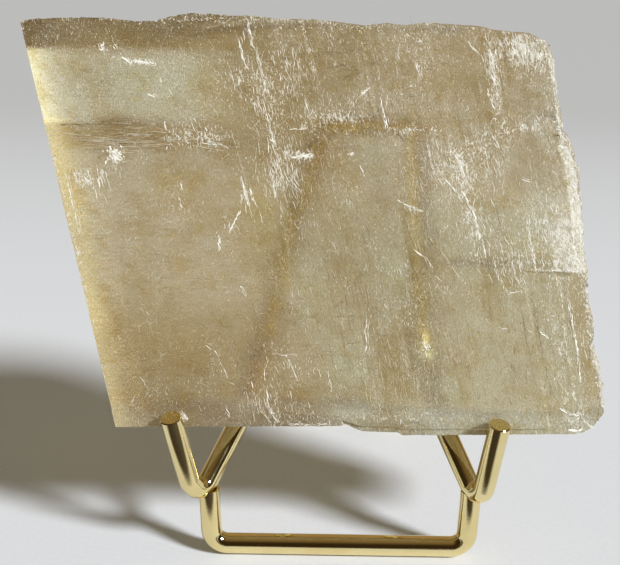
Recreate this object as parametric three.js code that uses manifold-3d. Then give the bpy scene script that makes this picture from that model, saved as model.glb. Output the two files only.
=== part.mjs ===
// Raw honey calcite on a bent brass display stand.
// Millimetres, +Z up, +X to the right, +Y towards the back. The origin is on the surface that the
// stand rests on, below the middle of the whole object.
//
// Four separate pieces:
//   calcite_slab    one cleaved piece of calcite, ragged along its top and right
//   cradle_rod      one rod bent into two V hooks and the backrest arch between them
//   front_base_bar  one rod bent into a wide U that carries the hooks
//   rear_leg        one rod bent into a U that props the arch from behind

import * as THREE from 'three';
import { mergeVertices } from 'three/addons/utils/BufferGeometryUtils.js';
import Module from 'manifold-3d';

const wasm = await Module();
wasm.setup();

// ---------------------------------------------------------------- driving dimensions

const ROD_DIAMETER = 5;
const ROD_SIDES = 12;
const ROD_STEP = 2;                  // length of one facet along a rod
const GAP = 0.3;                     // clearance between pieces that touch or are brazed together

const SLAB_THICKNESS = 15;
const SLAB_LEAN = 8;                 // degrees that the slab leans back on the arch
const TOP_FALL = -0.1;               // how steeply its broken top falls away from the face
const SLAB_FRONT_Y = -4;             // front bottom edge of the slab
const SLAB_BOTTOM_Z = 35;
const RHOMB_ANGLE = 101.9;           // blunt angle between the cleavage edges of calcite, degrees

const HOOK_BEND = 3.5;               // bend radii are measured on the rod's centre line
const ARM_BEND = 14;
const KNEE_BEND = 12;
const ARCH_BEND = 6.5;
const BASE_BEND = 4;
const LEG_BEND = 8;

const BASE_HALF_WIDTH = 31;
const BASE_TOP_LEFT_Z = 14.9;        // height of the turned-up ends under the hooks
const BASE_TOP_RIGHT_Z = 15.4;
const LEG_FOOT_Y = 78;               // how far behind the front bar the rear foot stands
const LEG_FOOT_HALF_WIDTH = 15;
const LEG_TOP_Z = 66;
const LEG_TOP_LEFT_X = -15.5;
const LEG_TOP_RIGHT_X = 18.9;

const ROD_RADIUS = ROD_DIAMETER / 2;

// ---------------------------------------------------------------- bent rods

// One circular bend that rounds the corner between two straight runs of a rod.
class Bend extends THREE.Curve {
  constructor(corner, directionIn, directionOut, radius) {
    super();
    this.turn = directionIn.angleTo(directionOut);
    this.reach = radius * Math.tan(this.turn / 2);
    this.radius = radius;
    this.entry = corner.clone().addScaledVector(directionIn, -this.reach);
    this.exit = corner.clone().addScaledVector(directionOut, this.reach);
    this.along = directionIn.clone();
    this.outward = directionIn.clone().cross(directionOut).cross(directionIn).negate().normalize();
    this.centre = this.entry.clone().addScaledVector(this.outward, -radius);
  }

  getPoint(t, target = new THREE.Vector3()) {
    const angle = t * this.turn;
    return target.copy(this.centre)
      .addScaledVector(this.outward, this.radius * Math.cos(angle))
      .addScaledVector(this.along, this.radius * Math.sin(angle));
  }
}

// The centre line of a rod: straight runs between its corners, with a bend at each one.
function rodPath(start, corners, end) {
  const path = new THREE.CurvePath();
  path.arcLengthDivisions = 3000;
  const stops = [start, ...corners.map((corner) => corner.at), end]
    .map((point) => new THREE.Vector3(...point));
  let from = stops[0];
  corners.forEach((corner, i) => {
    const directionIn = stops[i + 1].clone().sub(stops[i]).normalize();
    const directionOut = stops[i + 2].clone().sub(stops[i + 1]).normalize();
    const bend = new Bend(stops[i + 1], directionIn, directionOut, corner.bend);
    path.add(new THREE.LineCurve3(from, bend.entry));
    path.add(bend);
    from = bend.exit;
  });
  path.add(new THREE.LineCurve3(from, stops.at(-1)));
  return path;
}

// The rod's section has a flat on each side of it, turned by the given angle about the centre line.
function rodSection(turn) {
  const cornerRadius = ROD_RADIUS / Math.cos(Math.PI / ROD_SIDES);
  const corners = Array.from({ length: ROD_SIDES }, (_, i) => {
    const angle = turn + (i + 0.5) * 2 * Math.PI / ROD_SIDES;
    return new THREE.Vector2(cornerRadius * Math.cos(angle), cornerRadius * Math.sin(angle));
  });
  return new THREE.Shape(corners);
}

function rodGeometry(path, turn = 0) {
  return new THREE.ExtrudeGeometry(rodSection(turn), {
    steps: Math.round(path.getLength() / ROD_STEP),
    extrudePath: path,
    bevelEnabled: false,
  });
}

// ---------------------------------------------------------------- joining and cutting

function toSolid(geometry) {
  const plain = geometry.index ? geometry.toNonIndexed() : geometry.clone();
  plain.deleteAttribute('normal');
  plain.deleteAttribute('uv');
  const merged = mergeVertices(plain, 1e-4);
  return new wasm.Manifold(new wasm.Mesh({
    numProp: 3,
    vertProperties: new Float32Array(merged.attributes.position.array),
    triVerts: new Uint32Array(merged.index.array),
  }));
}

function toGeometry(solid) {
  const mesh = solid.getMesh();
  const geometry = new THREE.BufferGeometry();
  geometry.setAttribute('position', new THREE.Float32BufferAttribute(mesh.vertProperties, 3));
  geometry.setIndex(Array.from(mesh.triVerts));
  geometry.computeVertexNormals();
  return geometry;
}

// ---------------------------------------------------------------- calcite

// In the slab's own frame X runs along its bottom edge, Z up its face and Y into its thickness.
// Calcite cleaves along three directions that all meet at the same blunt angle.
const alongBottom = new THREE.Vector3(1, 0, 0);
const upFace = (() => {
  const blunt = THREE.MathUtils.degToRad(RHOMB_ANGLE);
  return new THREE.Vector3(Math.cos(blunt), 0, Math.sin(blunt));
})();
const intoSlab = (() => {
  const acute = Math.cos(THREE.MathUtils.degToRad(180 - RHOMB_ANGLE));
  const rise = (acute - acute * upFace.x) / upFace.z;
  const depth = Math.sqrt(1 - acute * acute - rise * rise);
  return new THREE.Vector3(acute / depth, 1, rise / depth);   // for each millimetre of thickness
})();

// Face outline, anticlockwise from the bottom left corner. The left and bottom edges are cleaved
// straight, with a lower ledge under the right half. The right and top edges are broken.
const BOTTOM_EDGE = [[-52.5, 0], [1, 1.1], [2.5, 0.3], [4.5, -0.4], [13, -0.6], [13.8, -1.3], [56, -0.3]];
const RIGHT_EDGE = [
  [59, 1.5], [61, 4.5], [60, 8], [59.3, 11], [58.5, 14.5], [56.8, 16.3], [57, 21], [57, 24.2],
  [55.5, 28], [54.6, 32.2], [55.2, 34.5], [54, 39], [53.6, 43.6], [52.7, 51.3], [51.7, 57.7],
  [50.5, 62], [49, 65.2], [47.8, 66], [46.7, 71], [46, 75.5], [45, 80.5], [43.8, 84.8], [42.6, 89],
];
const TOP_EDGE = [
  [38.8, 90.3], [30, 91], [27.4, 91.6], [19, 91.9], [15.5, 92.2], [10.7, 91.6], [7.2, 92],
  [2.5, 91.3], [-4.3, 92.3], [-8.6, 92.7], [-16, 92.7], [-19.3, 93.1], [-34.5, 93.5],
  [-38.7, 93.1], [-43, 92], [-46, 91.6], [-52.4, 92.4], [-63.3, 92.4], [-69.6, 91.9], [-72.5, 91.2],
];

// A prism on an outline in the plane of the face, from one depth in the slab to another.
function prism(points, direction, from, to) {
  const outline = new THREE.Shape(points.map(([x, z]) => new THREE.Vector2(x, z)));
  const geometry = new THREE.ExtrudeGeometry(outline, {
    depth: to - from, steps: 1, bevelEnabled: false,
  });
  const place = new THREE.Matrix4()
    .makeBasis(new THREE.Vector3(1, 0, 0), new THREE.Vector3(0, 0, 1), direction.clone().negate())
    .setPosition(direction.clone().multiplyScalar(to));
  return toSolid(geometry.applyMatrix4(place));
}

// The sides follow the third cleavage direction. The broken top falls away from the face instead.
function slabBlock() {
  const block = prism([...BOTTOM_EDGE, ...RIGHT_EDGE, ...TOP_EDGE], intoSlab, 0, SLAB_THICKNESS);
  const brokenEdge = [...[...TOP_EDGE].reverse(), RIGHT_EDGE.at(-1)].map(([x, z]) => [x, z + 0.05]);
  const above = [[90, 89], [90, 110], [-110, 110], [-110, 91], ...brokenEdge];
  return block.subtract(prism(above, new THREE.Vector3(0, 1, TOP_FALL), -1, SLAB_THICKNESS + 1));
}

// Flakes that have cleaved away. Each is a rhomb: its lower left corner on the face, its size along
// the bottom edge and up the face, and how deep it goes.
const FRONT_FLAKES = [
  { corner: [1, -3], wide: 62, tall: 4.2, deep: 0.6 },        // over the ledge at the bottom right
  { corner: [56.3, -3], wide: 12, tall: 41, deep: 1.2 },      // along the right edge, lower half
  { corner: [49, -3], wide: 16, tall: 41, deep: 0.5 },
  { corner: [52, 38.2], wide: 12, tall: 29.8, deep: 1.6 },    // along the right edge, upper half
  { corner: [46, 68], wide: 12, tall: 26, deep: 0.8 },
];
const BACK_FLAKES = [
  { corner: [-80, 70], wide: 44, tall: 17, deep: 2.4 },       // a long step across the upper left
  { corner: [34, -6], wide: 40, tall: 44, deep: 1.8 },        // lower right
  { corner: [-40, 93.5], wide: 60, tall: 8, deep: 5 },        // along the top edge
  { corner: [51, 46], wide: 20, tall: 26, deep: 3.5 },        // right edge
];

function flakeSolid(flake, from, to) {
  const box = new THREE.BoxGeometry(1, 1, 1).translate(0.5, 0.5, 0.5);
  const place = new THREE.Matrix4()
    .makeBasis(
      alongBottom.clone().multiplyScalar(flake.wide),
      intoSlab.clone().multiplyScalar(to - from),
      upFace.clone().multiplyScalar(flake.tall / upFace.z))
    .setPosition(flake.corner[0] + from * intoSlab.x, from, flake.corner[1] + from * intoSlab.z);
  return toSolid(box.applyMatrix4(place));
}

function slabGeometry() {
  const past = 1;                    // a flake's cut starts this far outside the slab
  let slab = slabBlock();
  for (const flake of FRONT_FLAKES) {
    slab = slab.subtract(flakeSolid(flake, -past, flake.deep));
  }
  for (const flake of BACK_FLAKES) {
    const shift = SLAB_THICKNESS - flake.deep;
    const seenThrough = {
      ...flake,
      corner: [flake.corner[0] - shift * intoSlab.x, flake.corner[1] - shift * intoSlab.z],
    };
    slab = slab.subtract(flakeSolid(seenThrough, shift, SLAB_THICKNESS + past));
  }
  return toGeometry(slab);
}

// ---------------------------------------------------------------- stand

// From the left hook's cut end, down into its V, back and up to the knee, over the arch and down to
// the right hook. The two sides differ a little, as in a stand that was bent by hand.
function cradleGeometry() {
  const leftTip = [-39.1, -7.7, 39.3];
  const rightTip = [35.7, -7.7, 38.8];
  return rodGeometry(rodPath(leftTip, [
    { at: [-35.9, -3.3, 21.2], bend: HOOK_BEND },
    { at: [-33.4, -1.2, 16.3], bend: HOOK_BEND - 0.5 },
    { at: [-24.9, 11, 30.5], bend: ARM_BEND },
    { at: [-20, 21.8, 46.2], bend: KNEE_BEND },
    { at: [-5.4, 23.5, 101.8], bend: ARCH_BEND },
    { at: [17.2, 23.5, 101], bend: ARCH_BEND },
    { at: [20.6, 21.8, 46.8], bend: KNEE_BEND },
    { at: [25.3, 11, 30.1], bend: ARM_BEND },
    { at: [33.3, -2.8, 15], bend: HOOK_BEND },
  ], rightTip));
}

function frontBaseGeometry() {
  const x = BASE_HALF_WIDTH;
  return rodGeometry(rodPath([-x - 0.5, 0, BASE_TOP_LEFT_Z], [
    { at: [-x, 0, ROD_RADIUS], bend: BASE_BEND },
    { at: [x, 0, ROD_RADIUS], bend: BASE_BEND },
  ], [x + 0.5, 0, BASE_TOP_RIGHT_Z]));
}

// The leg's U lies in a plane that slopes from the foot up to the arch. Its ends are cut upright,
// flush with the back of the arch.
function rearLegGeometry() {
  const archBackY = 23.2 + ROD_RADIUS + GAP;
  const rise = LEG_TOP_Z - ROD_RADIUS;
  const run = LEG_FOOT_Y - archBackY;
  const slope = Math.atan2(rise, run);
  const length = Math.hypot(rise, run) + ROD_DIAMETER;
  const path = rodPath([LEG_TOP_LEFT_X, 0, length], [
    { at: [-LEG_FOOT_HALF_WIDTH, 0, 0], bend: LEG_BEND },
    { at: [LEG_FOOT_HALF_WIDTH, 0, 0], bend: LEG_BEND },
  ], [LEG_TOP_RIGHT_X, 0, length]);
  const lean = Math.PI / 2 - slope;
  const leg = rodGeometry(path, -lean)
    .rotateX(lean)
    .translate(0, LEG_FOOT_Y, ROD_RADIUS);
  const behindArch = new THREE.BoxGeometry(200, 200, 200).translate(0, archBackY + 100, 0);
  return toGeometry(toSolid(leg).intersect(toSolid(behindArch)));
}

// ---------------------------------------------------------------- assembly

const calcite = new THREE.MeshStandardMaterial({
  name: 'calcite', color: 0xcbb98a, roughness: 0.35, metalness: 0, transparent: true, opacity: 0.8,
});
const brass = new THREE.MeshStandardMaterial({
  name: 'brass', color: 0xd9b14a, roughness: 0.2, metalness: 1,
});

function piece(name, geometry, material) {
  const mesh = new THREE.Mesh(geometry, material);
  mesh.name = name;
  return mesh;
}

const slab = piece('calcite_slab', slabGeometry(), calcite);
slab.position.set(0, SLAB_FRONT_Y, SLAB_BOTTOM_Z);
slab.rotation.x = -THREE.MathUtils.degToRad(SLAB_LEAN);

const object = new THREE.Group();
object.add(
  slab,
  piece('cradle_rod', cradleGeometry(), brass),
  piece('front_base_bar', frontBaseGeometry(), brass),
  piece('rear_leg', rearLegGeometry(), brass),
);

// The origin goes below the middle of the object, on the surface it stands on.
object.updateMatrixWorld(true);
const box = new THREE.Box3().setFromObject(object, true);
const middle = box.getCenter(new THREE.Vector3());
object.position.set(-middle.x, -middle.y, 0);

export default object;
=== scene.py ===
import math

import bpy
import numpy as np
from mathutils import Matrix, Vector


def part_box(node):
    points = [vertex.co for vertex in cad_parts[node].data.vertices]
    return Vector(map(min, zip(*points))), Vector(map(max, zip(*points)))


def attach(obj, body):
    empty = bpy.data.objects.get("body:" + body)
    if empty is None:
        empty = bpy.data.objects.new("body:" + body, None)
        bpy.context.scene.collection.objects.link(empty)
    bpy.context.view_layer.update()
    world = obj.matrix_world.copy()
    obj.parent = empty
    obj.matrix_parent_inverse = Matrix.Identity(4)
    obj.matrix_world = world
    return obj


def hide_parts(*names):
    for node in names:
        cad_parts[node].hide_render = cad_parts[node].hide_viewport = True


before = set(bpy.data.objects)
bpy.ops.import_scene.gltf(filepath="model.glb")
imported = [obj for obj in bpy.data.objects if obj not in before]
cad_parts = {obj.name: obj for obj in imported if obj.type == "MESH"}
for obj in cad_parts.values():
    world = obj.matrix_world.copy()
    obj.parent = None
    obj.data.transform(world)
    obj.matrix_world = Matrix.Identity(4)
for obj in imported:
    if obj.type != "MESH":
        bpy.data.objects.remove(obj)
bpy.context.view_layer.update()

# Raw honey calcite on a bent brass rod stand. Shapes are worked out in millimetres, and every mesh
# is placed in metres in the frame of the CAD part.

MM = 0.001

# ---- places and sizes, millimetres

bar_low, bar_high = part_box("front_base_bar")
STAND_ORIGIN = Vector(((bar_low.x + bar_high.x) / 2, (bar_low.y + bar_high.y) / 2, 0.0))

SLAB_THICKNESS = 15.0
SLAB_LEAN = 8.0                       # degrees
SLAB_FRONT_Y = -4.0
SLAB_BOTTOM_Z = 35.0
RHOMB_ANGLE = 101.9                   # blunt angle between the cleavage edges of calcite, degrees

ROD_RADIUS = 2.5

stand_to_world = Matrix.Translation(STAND_ORIGIN) @ Matrix.Scale(MM, 4)
slab_to_world = (
    stand_to_world
    @ Matrix.Translation((0, SLAB_FRONT_Y, SLAB_BOTTOM_Z))
    @ Matrix.Rotation(-math.radians(SLAB_LEAN), 4, "X")
)


def placed(points, matrix):
    """Points in millimetres, as an N x 3 array, carried into the row frame."""
    m = np.array(matrix)
    return points @ m[:3, :3].T + m[:3, 3]


# ---- meshes

def mesh_object(name, points, faces, material):
    """A mesh object from points in metres."""
    mesh = bpy.data.meshes.new(name)
    mesh.from_pydata([tuple(p) for p in points], [], [tuple(f) for f in faces])
    mesh.validate()
    mesh.materials.append(material)
    piece = bpy.data.objects.new(name, mesh)
    bpy.context.scene.collection.objects.link(piece)
    return piece


def shade(piece, sharp_angle):
    """Smooth shading, with the edges that turn more than sharp_angle (degrees) kept sharp."""
    piece.data.shade_smooth()
    piece.data.set_sharp_from_angle(angle=math.radians(sharp_angle))


def add_attribute(piece, name, kind, values):
    attribute = piece.data.attributes.new(name, kind, "POINT")
    field = {"FLOAT": "value", "FLOAT_VECTOR": "vector", "FLOAT_COLOR": "color"}[kind]
    attribute.data.foreach_set(field, np.ascontiguousarray(values, np.float32).ravel())


# ---- node helpers

class Nodes:
    """Short calls for building the node tree of a material or of the world."""

    def __init__(self, owner):
        owner.use_nodes = True
        self.owner, self.tree = owner, owner.node_tree
        self.tree.nodes.clear()

    def add(self, kind, values=None, **settings):
        node = self.tree.nodes.new(kind)
        for key, value in settings.items():
            setattr(node, key, value)
        for key, value in (values or {}).items():
            if isinstance(value, bpy.types.NodeSocket):
                self.tree.links.new(value, node.inputs[key])
            else:
                node.inputs[key].default_value = value
        return node

    def finish(self, kind="ShaderNodeOutputMaterial", **sockets):
        """Adds the output node, linked by the names of its sockets."""
        self.add(kind, sockets)
        return self.owner

    def math(self, operation, *values, clamp=False):
        """Combines the values from left to right."""
        total, *others = values
        for value in others:
            total = self.add("ShaderNodeMath", {0: total, 1: value},
                             operation=operation, use_clamp=clamp).outputs[0]
        return total

    def times(self, *values):
        return self.math("MULTIPLY", *values)

    def attribute(self, name, output="Fac"):
        return self.add("ShaderNodeAttribute", attribute_name=name).outputs[output]

    def vector(self, operation, *values, output="Vector"):
        return self.add("ShaderNodeVectorMath", dict(enumerate(values)), operation=operation).outputs[output]

    def noise(self, where, scale=1.0, detail=3.0, roughness=0.55, distortion=0.0):
        """Noise of one scale, or of a scale for each axis."""
        if isinstance(scale, tuple):
            where, scale = self.vector("MULTIPLY", where, scale), 1.0
        return self.add("ShaderNodeTexNoise", {
            "Vector": where, "Scale": scale, "Detail": detail,
            "Roughness": roughness, "Distortion": distortion}).outputs["Fac"]

    def ramp(self, value, low, high, to_low=0.0, to_high=1.0):
        return self.add("ShaderNodeMapRange", {
            "Value": value, "From Min": low, "From Max": high, "To Min": to_low, "To Max": to_high},
            interpolation_type="SMOOTHSTEP").outputs[0]

    def mix_color(self, factor, a, b, blend="MIX"):
        mix = self.add("ShaderNodeMix", {0: factor, 6: a, 7: b}, data_type="RGBA", blend_type=blend)
        return mix.outputs[2]

    def multiplied(self, color, mask, multiplier):
        """The colour, multiplied where the mask is 1."""
        return self.mix_color(mask, color, self.mix_color(1.0, color, multiplier, blend="MULTIPLY"))


def new_material(name):
    return Nodes(bpy.data.materials.new(name))


# ---- value noise for the meshes

def ease(x):
    x = np.clip(x, 0, 1)
    return x * x * (3 - 2 * x)


class ValueNoise:
    """Smooth seeded noise in two dimensions, between -1 and 1."""

    def __init__(self, seed, size=256):
        self.size = size
        self.lattice = np.random.default_rng(seed).uniform(-1, 1, (size, size))

    def steps(self, x, y):
        """Constant within each unit cell."""
        return self.lattice[np.floor(x).astype(int) % self.size, np.floor(y).astype(int) % self.size]

    def __call__(self, x, y):
        across, along = ease(x - np.floor(x)), ease(y - np.floor(y))
        low = self.steps(x, y) * (1 - across) + self.steps(x + 1, y) * across
        high = self.steps(x, y + 1) * (1 - across) + self.steps(x + 1, y + 1) * across
        return low * (1 - along) + high * along

    def octaves(self, x, y):
        return sum(self(x * 2 ** k + 17 * k, y * 2 ** k + 31 * k) / 2 ** k for k in range(4)) / 2


# ---- calcite

# On the slab's face, s runs along the bottom edge and t up the slanted cleavage direction. w goes
# into the thickness along calcite's third cleavage edge.
_blunt = math.radians(RHOMB_ANGLE)
UP = (math.cos(_blunt), math.sin(_blunt))
_acute = math.cos(math.pi - _blunt)
_rise = (_acute - _acute * UP[0]) / UP[1]
_depth = math.sqrt(1 - _acute ** 2 - _rise ** 2)
INTO = (_acute / _depth, _rise / _depth)


def cleavage_coordinates(u, v):
    t = v / UP[1]
    return u - t * UP[0], t


def slab_points(s, t, w):
    """Points of the slab's own frame: X along the bottom, Y into the slab, Z up the face."""
    return np.stack([s + t * UP[0] + w * INTO[0], w, t * UP[1] + w * INTO[1]], axis=-1)


# The broken edges of the face, as x and z in the slab's frame, the same points as in the CAD part.
RIGHT_EDGE = [
    (56, -0.3), (59, 1.5), (61, 4.5), (60, 8), (59.3, 11), (58.5, 14.5), (56.8, 16.3), (57, 21), (57, 24.2),
    (55.5, 28), (54.6, 32.2), (55.2, 34.5), (54, 39), (53.6, 43.6), (52.7, 51.3), (51.7, 57.7), (50.5, 62),
    (49, 65.2), (47.8, 66), (46.7, 71), (46, 75.5), (45, 80.5), (43.8, 84.8), (42.6, 89),
]
TOP_EDGE = [
    (42.6, 89), (38.8, 90.3), (30, 91), (27.4, 91.6), (19, 91.9), (15.5, 92.2), (10.7, 91.6), (7.2, 92),
    (2.5, 91.3), (-4.3, 92.3), (-8.6, 92.7), (-16, 92.7), (-19.3, 93.1), (-34.5, 93.5), (-38.7, 93.1),
    (-43, 92), (-46, 91.6), (-52.4, 92.4), (-63.3, 92.4), (-69.6, 91.9), (-72.5, 91.2),
]
BOTTOM_EDGE = [(-52.5, 0), (1, 1.1), (2.5, 0.3), (4.5, -0.4), (13, -0.6), (13.8, -1.3), (56, -0.3)]

GRID_S, GRID_T, GRID_W = 220, 180, 14
S_LEFT, S_RIGHT = -52.5, 62.0
T_BOTTOM, T_TOP = 0.0, 94.5
EDGE_BAND = 9.0                       # how far in from a broken edge the mesh gives way to it
BOTTOM_BAND = 4.0

random = np.random.default_rng(7)
ragged = ValueNoise(11)
waviness = ValueNoise(12)
grain = ValueNoise(13)

s_lines = np.linspace(S_LEFT, S_RIGHT, GRID_S + 1)
t_lines = np.linspace(T_BOTTOM, T_TOP, GRID_T + 1)
s_grid, t_grid = np.meshgrid(s_lines, t_lines, indexing="ij")
CELL = s_lines[1] - s_lines[0]


def edge_curve(points, along):
    """The edge's coordinate across, as a function of the one along it (0 for s, 1 for t)."""
    s, t = cleavage_coordinates(*np.array(points, float).T)
    key, value = (s, t) if along == 0 else (t, s)
    order = np.argsort(key)
    return lambda x: np.interp(x, key[order], value[order])


right_edge = edge_curve(RIGHT_EDGE, 1)
top_edge = edge_curve(TOP_EDGE, 0)
bottom_edge = edge_curve(BOTTOM_EDGE, 0)


def rhomb(depths, corner, size, deep):
    """Deepens the cells of one cleavage rhomb; the corner and size are x, z on the slab's face."""
    s, t = cleavage_coordinates(*corner)
    columns = (s_lines >= s) & (s_lines <= s + size[0])
    rows = (t_lines >= t) & (t_lines <= t + size[1] / UP[1])
    depths[np.ix_(columns, rows)] = np.maximum(depths[np.ix_(columns, rows)], deep)


def thin_flakes(depths, count, s_range, t_range, wide, tall, deep):
    """Many thin flakes with straight sides and staggered ends."""
    for _ in range(count):
        s, t = random.uniform(*s_range), random.uniform(*t_range)
        across, along = random.uniform(*wide), random.uniform(*tall)
        depth = random.uniform(*deep) * random.choice([-1, 1], p=[0.25, 0.75])
        first = int((s - S_LEFT) / CELL)
        last = max(first + 1, int((s + across - S_LEFT) / CELL))
        for i in range(max(first, 0), min(last, GRID_S + 1)):
            low = t + random.uniform(0, 0.12) * along
            high = t + random.uniform(0.85, 1) * along
            depths[i, (t_lines >= low) & (t_lines <= high)] += depth


# Flakes that cleaved away, close to those of the CAD part: corner as x and z, size, depth.
FRONT_STEPS = [
    ((1, -3), (64, 4.2), 0.6), ((56.3, -3), (12, 41), 1.2), ((49, -3), (16, 41), 0.5),
    ((52, 37.8), (12, 30.2), 1.6), ((46, 68), (12, 26), 0.8),
]
BACK_STEPS = [
    ((-80, 70), (44, 17), 2.4), ((34, -6), (40, 44), 1.8), ((-40, 93.5), (60, 8), 5.0),
    ((51, 46), (20, 26), 3.5),
]
BACK_STEP_FADE = 16.0                 # the back's upright steps become slopes this wide

# Thin flakes: how many, where in s and t, and their ranges of width, height and depth.
FRONT_FLAKES = [
    (260, (-8, 60), (0, 90), (0.5, 3.5), (4, 26), (0.02, 0.08)),
    (70, (-50, -8), (2, 90), (0.5, 2.0), (3, 14), (0.01, 0.05)),
    (130, (-50, -6), (24, 60), (4, 20), (0.4, 1.1), (0.01, 0.04)),
    (120, (-6, 62), (64, 94), (0.5, 2.0), (1, 8), (0.03, 0.12)),
]
BACK_FLAKES = [
    (200, (-50, 62), (0, 92), (0.8, 6.0), (5, 40), (0.02, 0.12)),
    (60, (-50, 0), (10, 90), (5, 30), (0.5, 2.0), (0.02, 0.1)),
]


def blurred(depths):
    padded = np.pad(depths, 1, mode="edge")
    return (padded[1:-1, 1:-1] * 2 + padded[:-2, 1:-1] + padded[2:, 1:-1]
            + padded[1:-1, :-2] + padded[1:-1, 2:]) / 6


def smeared(depths, reach):
    """Averages along s over a reach in millimetres."""
    half = int(reach / CELL / 2)
    padded = np.pad(depths, ((half, half), (0, 0)), mode="edge")
    total = sum(padded[k:k + len(depths)] for k in range(2 * half + 1))
    return total / (2 * half + 1)


def front_depths():
    depths = np.zeros(s_grid.shape)
    for corner, size, deep in FRONT_STEPS:
        rhomb(depths, corner, size, deep)
    for flakes in FRONT_FLAKES:
        thin_flakes(depths, *flakes)
    depths += 0.10 * waviness.octaves(s_grid / 22, t_grid / 22)
    return depths + 0.015 * grain(s_grid / 1.3, t_grid / 3.5)


def back_depths():
    depths = np.zeros(s_grid.shape)
    for corner, size, deep in BACK_STEPS:
        shift = SLAB_THICKNESS - deep
        rhomb(depths, (corner[0] - shift * INTO[0], corner[1] - shift * INTO[1]), size, deep)
    depths = smeared(blurred(depths), BACK_STEP_FADE)
    for flakes in BACK_FLAKES:
        thin_flakes(depths, *flakes)
    return depths + 0.18 * waviness.octaves(s_grid / 16 + 40, t_grid / 19 + 40)


front, back = front_depths(), back_depths()


def face_depth(s, t):
    """How deep the front face lies at a place, in millimetres."""
    i = np.clip(np.rint((s - S_LEFT) / CELL).astype(int), 0, GRID_S)
    j = np.clip(np.rint((t - T_BOTTOM) / (t_lines[1] - t_lines[0])).astype(int), 0, GRID_T)
    return front[i, j]


# --- soft zones of colour, painted light and shade, haze and frost on the face, in s and t

UMBER = np.array((0.80, 0.68, 0.48))
GOLD = np.array((1.03, 0.95, 0.70))
GREEN_GREY = np.array((0.93, 0.99, 0.97))
SUNLIT = np.array((1.16, 1.14, 0.88))
AMBER = np.array((1.30, 1.20, 0.62))
# The golden tint of the left side face is painted light, for the light leaving through it.
LEFT_SIDE_PAINTED_GOLD = np.array((1.0, 0.92, 0.66))
PAINTED_GLOW = (23.2, 20.8, 1.5, 3.6)         # middle and reach of the painted light thrown in by the stand


def zone(s, t, s_span, t_span, soft_s, soft_t, wave=0.9):
    """1 inside a box of the face, falling to 0 over the soft distances, with a wavy border."""
    s = s + wave * waviness.octaves(s / 5 + 9, t / 5)
    t = t + wave * waviness.octaves(s / 7, t / 6 + 5)
    across = ease((s - s_span[0]) / soft_s + 0.5) * ease((s_span[1] - s) / soft_s + 0.5)
    return across * ease((t - t_span[0]) / soft_t + 0.5) * ease((t_span[1] - t) / soft_t + 0.5)


def spot(s, t, s_middle, t_middle, s_reach, t_reach):
    return np.exp(-((s - s_middle) / s_reach) ** 2 - ((t - t_middle) / t_reach) ** 2)


def painted_left_glow(s, t):
    """Painted light: where the light that enters at the left edge leaves the stone again, painted as a bright
    patch.
    """
    decay = np.exp(-(np.clip(s - S_LEFT, 0, None) / 5.5) ** 1.6)
    return decay * zone(s, t, (-60, -38), (71.0, 87.6), 4, 1.4, wave=0.6)


def painted_left_gold(s, t):
    """Painted light: the golden strip of light below it, strongest along the left edge."""
    decay = np.exp(-(np.clip(s - S_LEFT, 0, None) / 6.5) ** 2)
    return decay * ease((73 - t) / 3) * (0.75 + 0.25 * ease(t / 40)) * (1 + 0.3 * waviness(s / 3, t / 9 + 70))


PAINTED_ARCH_LINE = [  # where the stand's arch shows through the face, and its golden light is painted
    (-11.9, 24), (-7.5, 34.7), (-4.3, 42.9), (-1.7, 49.2), (5.2, 62), (8.9, 69.7), (11.8, 71), (28.4, 71.3),
    (27.9, 66.8), (26.4, 54.8), (24.6, 39.4), (23.6, 28.6), (23.3, 20.6),
]


def painted_arch_light(s, t):
    """Painted light: the golden light of the brass arch behind, painted along its line on the face."""
    nearest = np.full(s.shape, np.inf)
    for (s0, t0), (s1, t1) in zip(PAINTED_ARCH_LINE, PAINTED_ARCH_LINE[1:]):
        ds, dt = s1 - s0, t1 - t0
        along = np.clip(((s - s0) * ds + (t - t0) * dt) / (ds * ds + dt * dt), 0, 1)
        nearest = np.minimum(nearest, np.hypot(s - s0 - along * ds, t - t0 - along * dt))
    return np.exp(-(nearest / 1.5) ** 2) * (0.8 + 0.5 * waviness.octaves(s / 1.5 + 5, t / 2.5 + 90))


# Soft patches of the face inside the arch and beside it: middle s, t, reach in s and t, strength.
PALE_PATCHES = [
    (-0.9, 33.6, 4, 8, 0.8), (3.5, 14.7, 4, 5, 1), (19.5, 65, 3, 6, 0.7), (19.5, 37.4, 2.5, 8, 0.8),
    (28, 10.3, 4, 4, 1), (-28, 80, 12, 5, 0.5),
]
TAN_PATCHES = [
    (5.6, 53.4, 3.5, 7, 0.5), (5.2, 36, 3, 6, 0.4), (12.2, 16, 1.1, 11, 0.7), (15.3, 13, 2, 6, 0.8),
    (23.4, 46, 0.9, 10, 0.7), (6, 63, 1.6, 2.4, 0.4), (-1.8, 47.5, 1.4, 5, 0.4), (30, 12, 1.5, 7, 0.4),
    (-42, 22, 8, 14, 0.35), (-30, 52, 9, 5, 0.15),
]
GOLD_PATCHES = [
    (-27, 57, 6, 3.5, 0.5), (-8, 52, 3.5, 7, 0.6), (-31, 38, 10, 6, 0.25), (14, 58, 3, 6, 0.3),
]


def patches_of(places, s, t):
    return sum(amount * spot(s, t, *place) for *place, amount in places)


def painted_glow(s, t):
    """Painted light: the bright spot where the arch throws the light forward."""
    return spot(s, t, *PAINTED_GLOW) * np.clip(0.7 + 1.3 * waviness.octaves(s / 0.7, t / 0.9 + 15), 0, 1.6)


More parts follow.
